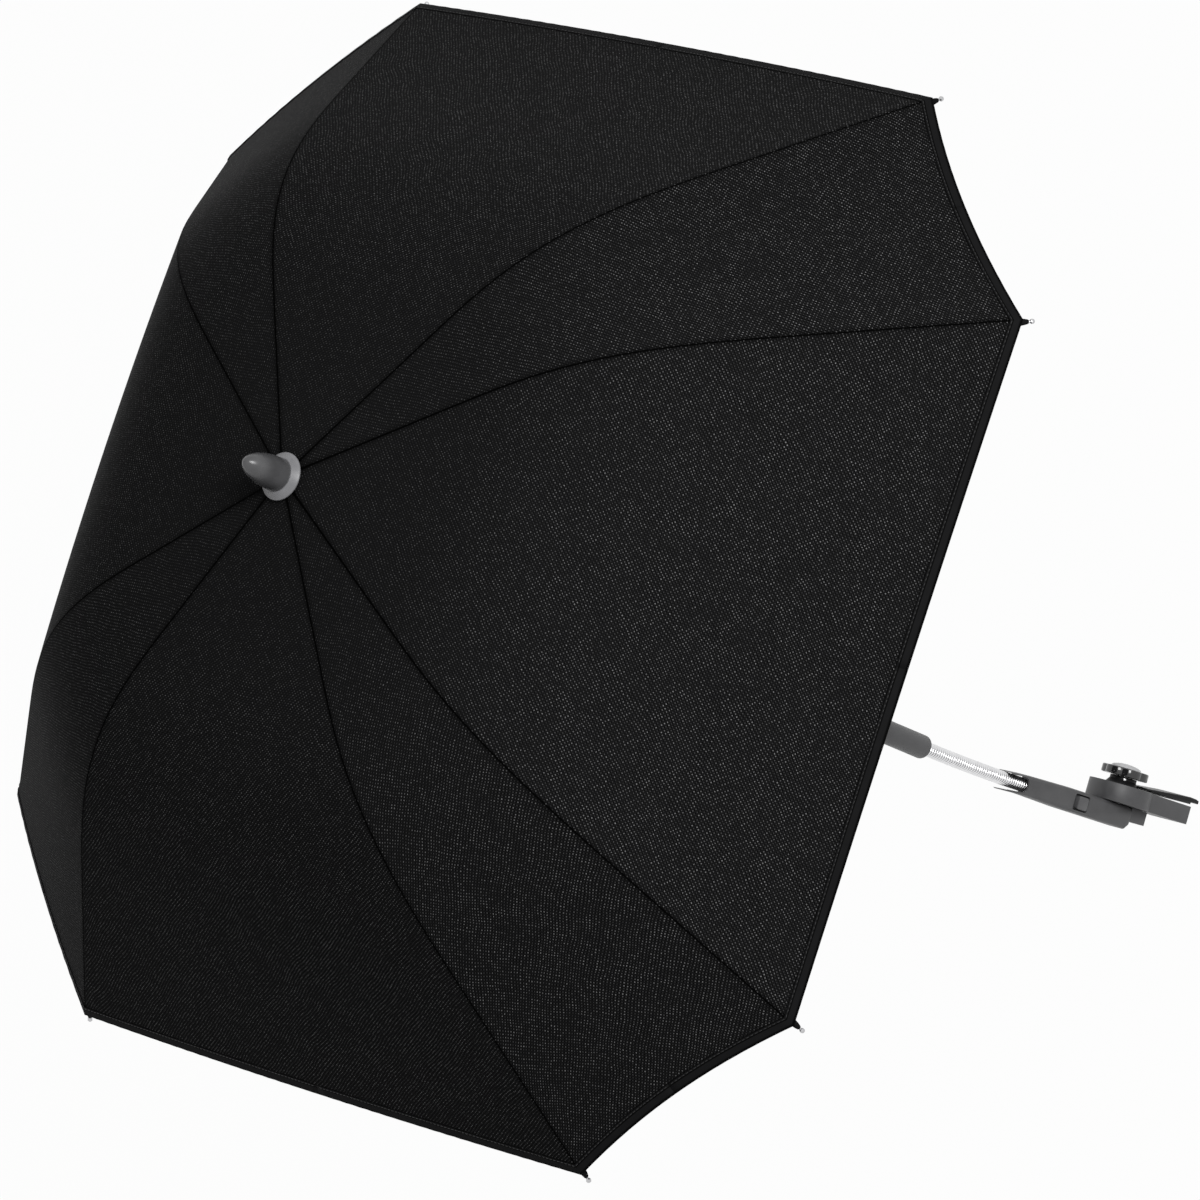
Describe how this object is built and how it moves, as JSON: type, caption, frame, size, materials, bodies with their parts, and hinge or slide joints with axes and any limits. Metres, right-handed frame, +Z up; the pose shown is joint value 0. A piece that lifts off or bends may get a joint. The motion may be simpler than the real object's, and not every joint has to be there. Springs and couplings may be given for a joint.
{
  "type": "stroller parasol",
  "caption": "Stroller parasol: square cut-corner cloth canopy on folding ribs, straight shaft, bending gooseneck, plug-in handle bar and a screw clamp for a frame tube.",
  "frame": {"origin": "middle of the clamp's closed grip, between its arm and its jaw, 10 mm from the arm's end", "axes": "+Z up along the shaft to the ferrule, +X the way the clamp's knob looks, +Y away from the handle's push button"},
  "size_m": [0.7071, 0.707, 0.9944],
  "materials": {
    "cloth": "fine black twill, matt",
    "grip": "dark grey moulded, satin",
    "washer": "mid grey moulded, satin",
    "black": "black moulded, satin",
    "jaw": "black moulded, satin",
    "gloss": "black, polished",
    "button": "grey moulded, satin",
    "cap": "light grey, smooth",
    "steel": "zinc plated",
    "chrome": "bright plated"
  },
  "bodies": {
    "clamp": {"clamp_body": "grip"},
    "jaw": {"moving_jaw": "jaw", "collar_pin": "steel"},
    "knob": {"star_knob": "gloss", "knob_cap": "cap", "clamp_screw": "steel"},
    "handle": {"handle_bar": "grip", "swivel_tongue": "grip"},
    "button": {"push_button": "button"},
    "neck": {"gooseneck_coil": "chrome", "gooseneck_core": "black"},
    "shaft": {"shaft_tube": "chrome", "sleeve": "grip", "top_notch": "black", "notch_wire": "steel", "ferrule": "grip", "ferrule_washer": "washer", "catch_spring": "steel"},
    "runner": {"runner": "black"},
    "rib_body_1": {"rib_1": "steel", "rib_bracket_1": "steel", "rib_tip_1": "chrome", "canopy_gore_1": "cloth"},
    "stretcher_body_1": {"stretcher_1": "steel"},
    "rib_body_2": {"rib_2": "steel", "rib_bracket_2": "steel", "rib_tip_2": "chrome", "canopy_gore_2": "cloth"},
    "stretcher_body_2": {"stretcher_2": "steel"},
    "rib_body_3": {"rib_3": "steel", "rib_bracket_3": "steel", "rib_tip_3": "chrome", "canopy_gore_3": "cloth"},
    "stretcher_body_3": {"stretcher_3": "steel"},
    "rib_body_4": {"rib_4": "steel", "rib_bracket_4": "steel", "rib_tip_4": "chrome", "canopy_gore_4": "cloth"},
    "stretcher_body_4": {"stretcher_4": "steel"},
    "rib_body_5": {"rib_5": "steel", "rib_bracket_5": "steel", "rib_tip_5": "chrome", "canopy_gore_5": "cloth"},
    "stretcher_body_5": {"stretcher_5": "steel"},
    "rib_body_6": {"rib_6": "steel", "rib_bracket_6": "steel", "rib_tip_6": "chrome", "canopy_gore_6": "cloth"},
    "stretcher_body_6": {"stretcher_6": "steel"},
    "rib_body_7": {"rib_7": "steel", "rib_bracket_7": "steel", "rib_tip_7": "chrome", "canopy_gore_7": "cloth"},
    "stretcher_body_7": {"stretcher_7": "steel"},
    "rib_body_8": {"rib_8": "steel", "rib_bracket_8": "steel", "rib_tip_8": "chrome", "canopy_gore_8": "cloth"},
    "stretcher_body_8": {"stretcher_8": "steel"}
  },
  "joints": [
    {"name": "arm_swivel", "type": "hinge", "parent": "clamp", "child": "handle", "pos_m": [-0.01647, 0, 0.05269], "axis": [0.9985, 0, 0.0541], "range_deg": [-90, 90]},
    {"name": "jaw_slide", "type": "slide", "parent": "clamp", "child": "jaw", "axis": [0.9985, 0, 0.0541], "range_m": [0, 0.016]},
    {"name": "knob_turn", "type": "hinge", "parent": "jaw", "child": "knob", "pos_m": [-0.00369, 0, 0.05338], "axis": [0.9985, 0, 0.0541], "range_deg": [0, 3840.6]},
    {"name": "button_press", "type": "slide", "parent": "handle", "child": "button", "axis": [0, 1, 0], "range_m": [0, 0.0025], "stiffness_N_per_m": 800, "springref_m": -0.001},
    {"name": "neck_bend_lower", "type": "hinge", "parent": "handle", "child": "neck", "pos_m": [-0.03168, 0, 0.18193], "axis": [1, 0, 0], "range_deg": [-45, 45], "deforming": ["gooseneck_coil", "gooseneck_core"]},
    {"name": "neck_bend_upper", "type": "hinge", "parent": "neck", "child": "shaft", "pos_m": [-0.03332, 0, 0.24265], "axis": [0, 1, 0], "range_deg": [-45, 45], "deforming": ["gooseneck_coil", "gooseneck_core"]},
    {"name": "runner_slide", "type": "slide", "parent": "shaft", "child": "runner", "axis": [0, 0, -1], "range_m": [0, 0.339], "deforming": ["catch_spring"]},
    {"name": "rib_fold_1", "type": "hinge", "parent": "shaft", "child": "rib_body_1", "pos_m": [-0.02469, -0.00569, 0.93079], "axis": [0.5414, 0.8407, 0], "range_deg": [0, 61.2], "deforming": ["canopy_gore_1"]},
    {"name": "stretcher_fold_1", "type": "hinge", "parent": "rib_body_1", "child": "stretcher_body_1", "pos_m": [0.15981, -0.12451, 0.88722], "axis": [0.5414, 0.8407, 0], "range_deg": [-122.4, 0]},
    {"name": "rib_fold_2", "type": "hinge", "parent": "shaft", "child": "rib_body_2", "pos_m": [-0.02469, 0.00569, 0.93079], "axis": [-0.5414, 0.8407, 0], "range_deg": [0, 61.2], "deforming": ["canopy_gore_2"]},
    {"name": "stretcher_fold_2", "type": "hinge", "parent": "rib_body_2", "child": "stretcher_body_2", "pos_m": [0.15981, 0.12451, 0.88722], "axis": [-0.5414, 0.8407, 0], "range_deg": [-122.4, 0]},
    {"name": "rib_fold_3", "type": "hinge", "parent": "shaft", "child": "rib_body_3", "pos_m": [-0.02784, 0.00884, 0.93079], "axis": [-0.8407, 0.5414, 0], "range_deg": [0, 61.2], "deforming": ["canopy_gore_3"]},
    {"name": "stretcher_fold_3", "type": "hinge", "parent": "rib_body_3", "child": "stretcher_body_3", "pos_m": [0.09098, 0.19334, 0.88722], "axis": [-0.8407, 0.5414, 0], "range_deg": [-122.4, 0]},
    {"name": "rib_fold_4", "type": "hinge", "parent": "shaft", "child": "rib_body_4", "pos_m": [-0.03922, 0.00884, 0.93079], "axis": [-0.8407, -0.5414, 0], "range_deg": [0, 61.2], "deforming": ["canopy_gore_4"]},
    {"name": "stretcher_fold_4", "type": "hinge", "parent": "rib_body_4", "child": "stretcher_body_4", "pos_m": [-0.15804, 0.19334, 0.88722], "axis": [-0.8407, -0.5414, 0], "range_deg": [-122.4, 0]},
    {"name": "rib_fold_5", "type": "hinge", "parent": "shaft", "child": "rib_body_5", "pos_m": [-0.04237, 0.00569, 0.93079], "axis": [-0.5414, -0.8407, 0], "range_deg": [0, 61.2], "deforming": ["canopy_gore_5"]},
    {"name": "stretcher_fold_5", "type": "hinge", "parent": "rib_body_5", "child": "stretcher_body_5", "pos_m": [-0.22687, 0.12451, 0.88722], "axis": [-0.5414, -0.8407, 0], "range_deg": [-122.4, 0]},
    {"name": "rib_fold_6", "type": "hinge", "parent": "shaft", "child": "rib_body_6", "pos_m": [-0.04237, -0.00569, 0.93079], "axis": [0.5414, -0.8407, 0], "range_deg": [0, 61.2], "deforming": ["canopy_gore_6"]},
    {"name": "stretcher_fold_6", "type": "hinge", "parent": "rib_body_6", "child": "stretcher_body_6", "pos_m": [-0.22687, -0.12451, 0.88722], "axis": [0.5414, -0.8407, 0], "range_deg": [-122.4, 0]},
    {"name": "rib_fold_7", "type": "hinge", "parent": "shaft", "child": "rib_body_7", "pos_m": [-0.03922, -0.00884, 0.93079], "axis": [0.8407, -0.5414, 0], "range_deg": [0, 61.2], "deforming": ["canopy_gore_7"]},
    {"name": "stretcher_fold_7", "type": "hinge", "parent": "rib_body_7", "child": "stretcher_body_7", "pos_m": [-0.15804, -0.19334, 0.88722], "axis": [0.8407, -0.5414, 0], "range_deg": [-122.4, 0]},
    {"name": "rib_fold_8", "type": "hinge", "parent": "shaft", "child": "rib_body_8", "pos_m": [-0.02784, -0.00884, 0.93079], "axis": [0.8407, 0.5414, 0], "range_deg": [0, 61.2], "deforming": ["canopy_gore_8"]},
    {"name": "stretcher_fold_8", "type": "hinge", "parent": "rib_body_8", "child": "stretcher_body_8", "pos_m": [0.09098, -0.19334, 0.88722], "axis": [0.8407, 0.5414, 0], "range_deg": [-122.4, 0]}
  ],
  "couplings": [
    {"joint": "knob_turn", "follows": "jaw_slide", "rad_per_m": 4188.8},
    {"joint": "rib_fold_1", "follows": "runner_slide", "rad_per_m": 3.1406},
    {"joint": "stretcher_fold_1", "follows": "runner_slide", "rad_per_m": -6.2811},
    {"joint": "rib_fold_2", "follows": "runner_slide", "rad_per_m": 3.1406},
    {"joint": "stretcher_fold_2", "follows": "runner_slide", "rad_per_m": -6.2811},
    {"joint": "rib_fold_3", "follows": "runner_slide", "rad_per_m": 3.1406},
    {"joint": "stretcher_fold_3", "follows": "runner_slide", "rad_per_m": -6.2811},
    {"joint": "rib_fold_4", "follows": "runner_slide", "rad_per_m": 3.1406},
    {"joint": "stretcher_fold_4", "follows": "runner_slide", "rad_per_m": -6.2811},
    {"joint": "rib_fold_5", "follows": "runner_slide", "rad_per_m": 3.1406},
    {"joint": "stretcher_fold_5", "follows": "runner_slide", "rad_per_m": -6.2811},
    {"joint": "rib_fold_6", "follows": "runner_slide", "rad_per_m": 3.1406},
    {"joint": "stretcher_fold_6", "follows": "runner_slide", "rad_per_m": -6.2811},
    {"joint": "rib_fold_7", "follows": "runner_slide", "rad_per_m": 3.1406},
    {"joint": "stretcher_fold_7", "follows": "runner_slide", "rad_per_m": -6.2811},
    {"joint": "rib_fold_8", "follows": "runner_slide", "rad_per_m": 3.1406},
    {"joint": "stretcher_fold_8", "follows": "runner_slide", "rad_per_m": -6.2811}
  ]
}
